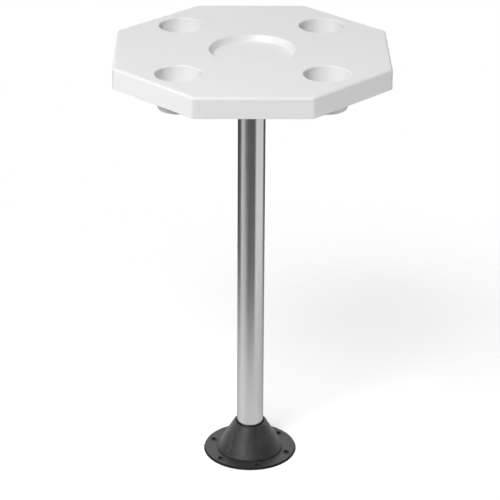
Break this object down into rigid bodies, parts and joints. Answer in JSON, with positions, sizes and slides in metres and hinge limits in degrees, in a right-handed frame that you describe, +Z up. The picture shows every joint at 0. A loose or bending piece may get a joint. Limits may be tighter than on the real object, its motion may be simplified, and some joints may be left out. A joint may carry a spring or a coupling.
{
  "type": "octagonal pedestal table",
  "caption": "Octagonal white pedestal table with cup wells and a shallow round tray, on a plug-in aluminium tube leg held by flanged black sockets.",
  "frame": {"origin": "middle of the floor socket's underside, on the floor", "axes": "+Z up along the leg, +X and +Y square to two pairs of the top's edges, front edge facing -Y"},
  "size_m": [0.457, 0.457, 0.762],
  "materials": {
    "white_plastic": "white moulded plastic with a soft satin gloss",
    "tube_aluminium": "satin, drawn along its length",
    "black_plastic": "black moulded plastic, satin",
    "screw_steel": "plain stainless"
  },
  "bodies": {
    "root": {"table_top": "white_plastic", "table_socket": "black_plastic", "leg_tube": "tube_aluminium", "floor_socket": "black_plastic", "socket_screw_1": "screw_steel", "socket_screw_2": "screw_steel", "socket_screw_3": "screw_steel", "socket_screw_4": "screw_steel", "socket_screw_5": "screw_steel", "socket_screw_6": "screw_steel"}
  },
  "joints": []
}
